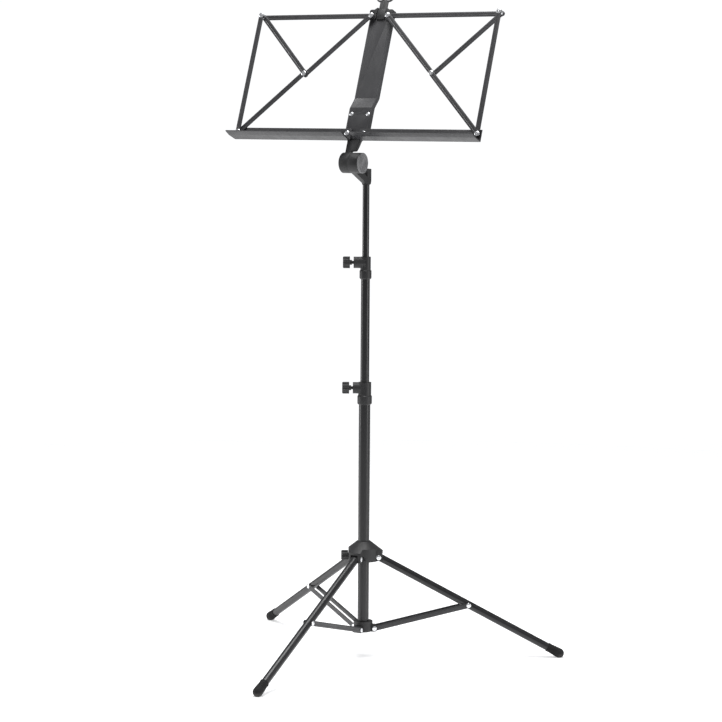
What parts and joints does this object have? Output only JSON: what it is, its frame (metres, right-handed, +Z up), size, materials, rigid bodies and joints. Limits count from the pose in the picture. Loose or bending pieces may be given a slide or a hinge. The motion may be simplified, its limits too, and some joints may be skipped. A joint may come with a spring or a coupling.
{
  "type": "folding music stand",
  "caption": "Folding music stand with an open strip desk on a tilt joint, a telescoping column with thumb screws and a folding tripod.",
  "frame": {"origin": "on the floor, on the axis of the column", "axes": "+Z up along the column, +X to the musician's right, +Y away from the musician"},
  "size_m": [0.6806, 0.592, 1.2894],
  "materials": {
    "black_tube": "satin black powder coat",
    "black_sheet": "satin black powder coat",
    "black_plastic": "matt moulded black",
    "drum_cap": "matt grey moulded",
    "rivet_zinc": "bright zinc plated",
    "foot_rubber": "matt black rubber"
  },
  "bodies": {
    "lower_column": {"lower_tube": "black_tube", "base_hub": "black_plastic", "base_hub_rivets": "rivet_zinc", "lower_clamp": "black_plastic"},
    "middle_column": {"middle_tube": "black_tube", "middle_bush": "black_plastic", "upper_clamp": "black_plastic"},
    "upper_column": {"upper_tube": "black_tube", "upper_bush": "black_plastic"},
    "lower_screw": {"lower_thumb_screw": "black_plastic"},
    "hub_screw": {"hub_thumb_screw": "black_plastic"},
    "upper_screw": {"upper_thumb_screw": "black_plastic"},
    "leg_hub": {"leg_hub": "black_plastic", "leg_hub_rivets": "rivet_zinc"},
    "tilt_socket": {"tilt_socket": "black_plastic", "tilt_cap": "drum_cap", "tilt_bolt": "rivet_zinc"},
    "desk": {"tilt_arm": "black_plastic", "spine": "black_sheet", "spine_pivots": "rivet_zinc", "arm_rivets": "rivet_zinc", "desk_head": "black_plastic", "clip_pin": "rivet_zinc"},
    "page_clip": {"page_clip": "black_plastic", "finger_loops": "black_sheet"},
    "front_leg": {"front_leg": "black_tube", "front_leg_plug": "black_plastic", "front_foot": "foot_rubber"},
    "front_strut": {"front_strut": "black_sheet", "front_strut_rivet": "rivet_zinc"},
    "right_leg": {"right_leg": "black_tube", "right_leg_plug": "black_plastic", "right_foot": "foot_rubber"},
    "right_strut": {"right_strut": "black_sheet", "right_strut_rivet": "rivet_zinc"},
    "left_leg": {"left_leg": "black_tube", "left_leg_plug": "black_plastic", "left_foot": "foot_rubber"},
    "left_strut": {"left_strut": "black_sheet", "left_strut_rivet": "rivet_zinc"},
    "right_ledge": {"right_ledge": "black_sheet", "right_ledge_rivet": "rivet_zinc"},
    "right_top_rail": {"right_top_rail": "black_sheet", "right_corner_rivet": "rivet_zinc"},
    "right_side_rail": {"right_side_rail": "black_sheet"},
    "right_upper_diagonal": {"right_upper_diagonal": "black_sheet"},
    "right_lower_diagonal": {"right_lower_diagonal": "black_sheet", "right_middle_rivet": "rivet_zinc"},
    "right_short_brace": {"right_short_brace": "black_sheet", "right_brace_rivet": "rivet_zinc"},
    "left_ledge": {"left_ledge": "black_sheet", "left_ledge_rivet": "rivet_zinc"},
    "left_top_rail": {"left_top_rail": "black_sheet", "left_corner_rivet": "rivet_zinc"},
    "left_side_rail": {"left_side_rail": "black_sheet"},
    "left_upper_diagonal": {"left_upper_diagonal": "black_sheet"},
    "left_lower_diagonal": {"left_lower_diagonal": "black_sheet", "left_middle_rivet": "rivet_zinc"},
    "left_short_brace": {"left_short_brace": "black_sheet", "left_brace_rivet": "rivet_zinc"}
  },
  "joints": [
    {"name": "leg_hub_slide", "type": "slide", "parent": "lower_column", "child": "leg_hub", "axis": [0, 0, 1], "range_m": [0, 0.247]},
    {"name": "front_leg_hinge", "type": "hinge", "parent": "leg_hub", "child": "front_leg", "pos_m": [0, -0.029, 0.196], "axis": [1, 0, 0], "range_deg": [0, 60.47]},
    {"name": "front_strut_hinge", "type": "hinge", "parent": "lower_column", "child": "front_strut", "pos_m": [0, -0.022, 0.056], "axis": [-1, 0, 0], "range_deg": [0, 72.02]},
    {"name": "right_leg_hinge", "type": "hinge", "parent": "leg_hub", "child": "right_leg", "pos_m": [0.02511, 0.0145, 0.196], "axis": [-0.5, 0.866, 0], "range_deg": [0, 60.47]},
    {"name": "right_strut_hinge", "type": "hinge", "parent": "lower_column", "child": "right_strut", "pos_m": [0.01905, 0.011, 0.056], "axis": [0.5, -0.866, 0], "range_deg": [0, 72.02]},
    {"name": "left_leg_hinge", "type": "hinge", "parent": "leg_hub", "child": "left_leg", "pos_m": [-0.02511, 0.0145, 0.196], "axis": [-0.5, -0.866, 0], "range_deg": [0, 60.47]},
    {"name": "left_strut_hinge", "type": "hinge", "parent": "lower_column", "child": "left_strut", "pos_m": [-0.01905, 0.011, 0.056], "axis": [0.5, 0.866, 0], "range_deg": [0, 72.02]},
    {"name": "middle_column_slide", "type": "slide", "parent": "lower_column", "child": "middle_column", "axis": [0, 0, 1], "range_m": [-0.195, 0.09]},
    {"name": "upper_column_slide", "type": "slide", "parent": "middle_column", "child": "upper_column", "axis": [0, 0, 1], "range_m": [-0.115, 0.17]},
    {"name": "lower_screw_turn", "type": "hinge", "parent": "lower_column", "child": "lower_screw", "pos_m": [-0.02598, -0.015, 0.525], "axis": [-0.866, -0.5, 0], "continuous": true},
    {"name": "upper_screw_turn", "type": "hinge", "parent": "middle_column", "child": "upper_screw", "pos_m": [-0.02598, -0.015, 0.767], "axis": [-0.866, -0.5, 0], "continuous": true},
    {"name": "hub_screw_turn", "type": "hinge", "parent": "leg_hub", "child": "hub_screw", "pos_m": [-0.02598, -0.015, 0.199], "axis": [-0.866, -0.5, 0], "continuous": true},
    {"name": "desk_swivel", "type": "hinge", "parent": "upper_column", "child": "tilt_socket", "pos_m": [0, 0, 0.9], "axis": [0, 0, 1], "continuous": true},
    {"name": "desk_tilt", "type": "hinge", "parent": "tilt_socket", "child": "desk", "pos_m": [0, -0.05, 0.958], "axis": [1, 0, 0], "range_deg": [-68, 25]},
    {"name": "page_clip_squeeze", "type": "hinge", "parent": "desk", "child": "page_clip", "pos_m": [0, 0.06045, 1.24823], "axis": [-1, 0, 0], "range_deg": [0, 16], "stiffness_Nm_per_rad": 0.06, "springref_deg": -20.05},
    {"name": "right_ledge_fold", "type": "hinge", "parent": "desk", "child": "right_ledge", "pos_m": [0.018, -0.0307, 1.009], "axis": [0, -0.9367, 0.3502], "range_deg": [0, 88]},
    {"name": "right_top_rail_fold", "type": "hinge", "parent": "desk", "child": "right_top_rail", "pos_m": [0.018, 0.0544, 1.23661], "axis": [0, -0.9367, 0.3502], "range_deg": [0, 88.05]},
    {"name": "right_side_rail_fold", "type": "hinge", "parent": "right_top_rail", "child": "right_side_rail", "pos_m": [0.261, 0.0544, 1.23661], "axis": [0, -0.9367, 0.3502], "range_deg": [-88.05, 0]},
    {"name": "right_short_brace_fold", "type": "hinge", "parent": "right_top_rail", "child": "right_short_brace", "pos_m": [0.261, 0.0544, 1.23661], "axis": [0, -0.9367, 0.3502], "range_deg": [-44.05, 0]},
    {"name": "right_upper_diagonal_fold", "type": "hinge", "parent": "desk", "child": "right_upper_diagonal", "pos_m": [0.018, 0.0544, 1.23661], "axis": [0, -0.9367, 0.3502], "range_deg": [0, 132.64]},
    {"name": "right_lower_diagonal_fold", "type": "hinge", "parent": "right_side_rail", "child": "right_lower_diagonal", "pos_m": [0.261, -0.0307, 1.009], "axis": [0, -0.9367, 0.3502], "range_deg": [-44.64, 0]},
    {"name": "left_ledge_fold", "type": "hinge", "parent": "desk", "child": "left_ledge", "pos_m": [-0.018, -0.0307, 1.009], "axis": [0, 0.9367, -0.3502], "range_deg": [0, 88]},
    {"name": "left_top_rail_fold", "type": "hinge", "parent": "desk", "child": "left_top_rail", "pos_m": [-0.018, 0.0544, 1.23661], "axis": [0, 0.9367, -0.3502], "range_deg": [0, 88.05]},
    {"name": "left_side_rail_fold", "type": "hinge", "parent": "left_top_rail", "child": "left_side_rail", "pos_m": [-0.261, 0.0544, 1.23661], "axis": [0, 0.9367, -0.3502], "range_deg": [-88.05, 0]},
    {"name": "left_short_brace_fold", "type": "hinge", "parent": "left_top_rail", "child": "left_short_brace", "pos_m": [-0.261, 0.0544, 1.23661], "axis": [0, 0.9367, -0.3502], "range_deg": [-44.05, 0]},
    {"name": "left_upper_diagonal_fold", "type": "hinge", "parent": "desk", "child": "left_upper_diagonal", "pos_m": [-0.018, 0.0544, 1.23661], "axis": [0, 0.9367, -0.3502], "range_deg": [0, 132.64]},
    {"name": "left_lower_diagonal_fold", "type": "hinge", "parent": "left_side_rail", "child": "left_lower_diagonal", "pos_m": [-0.261, -0.0307, 1.009], "axis": [0, 0.9367, -0.3502], "range_deg": [-44.64, 0]}
  ],
  "couplings": [
    {"joint": "front_leg_hinge", "follows": "leg_hub_slide", "rad_per_m": 4.2723},
    {"joint": "front_strut_hinge", "follows": "leg_hub_slide", "rad_per_m": 5.0886},
    {"joint": "right_leg_hinge", "follows": "leg_hub_slide", "rad_per_m": 4.2723},
    {"joint": "right_strut_hinge", "follows": "leg_hub_slide", "rad_per_m": 5.0886},
    {"joint": "left_leg_hinge", "follows": "leg_hub_slide", "rad_per_m": 4.2723},
    {"joint": "left_strut_hinge", "follows": "leg_hub_slide", "rad_per_m": 5.0886},
    {"joint": "right_top_rail_fold", "follows": "right_ledge_fold", "ratio": 1},
    {"joint": "right_side_rail_fold", "follows": "right_ledge_fold", "ratio": -1},
    {"joint": "right_short_brace_fold", "follows": "right_ledge_fold", "ratio": -0.5},
    {"joint": "right_upper_diagonal_fold", "follows": "right_ledge_fold", "ratio": 1.5067},
    {"joint": "right_lower_diagonal_fold", "follows": "right_ledge_fold", "ratio": -0.5067},
    {"joint": "left_top_rail_fold", "follows": "left_ledge_fold", "ratio": 1},
    {"joint": "left_side_rail_fold", "follows": "left_ledge_fold", "ratio": -1},
    {"joint": "left_short_brace_fold", "follows": "left_ledge_fold", "ratio": -0.5},
    {"joint": "left_upper_diagonal_fold", "follows": "left_ledge_fold", "ratio": 1.5067},
    {"joint": "left_lower_diagonal_fold", "follows": "left_ledge_fold", "ratio": -0.5067}
  ]
}
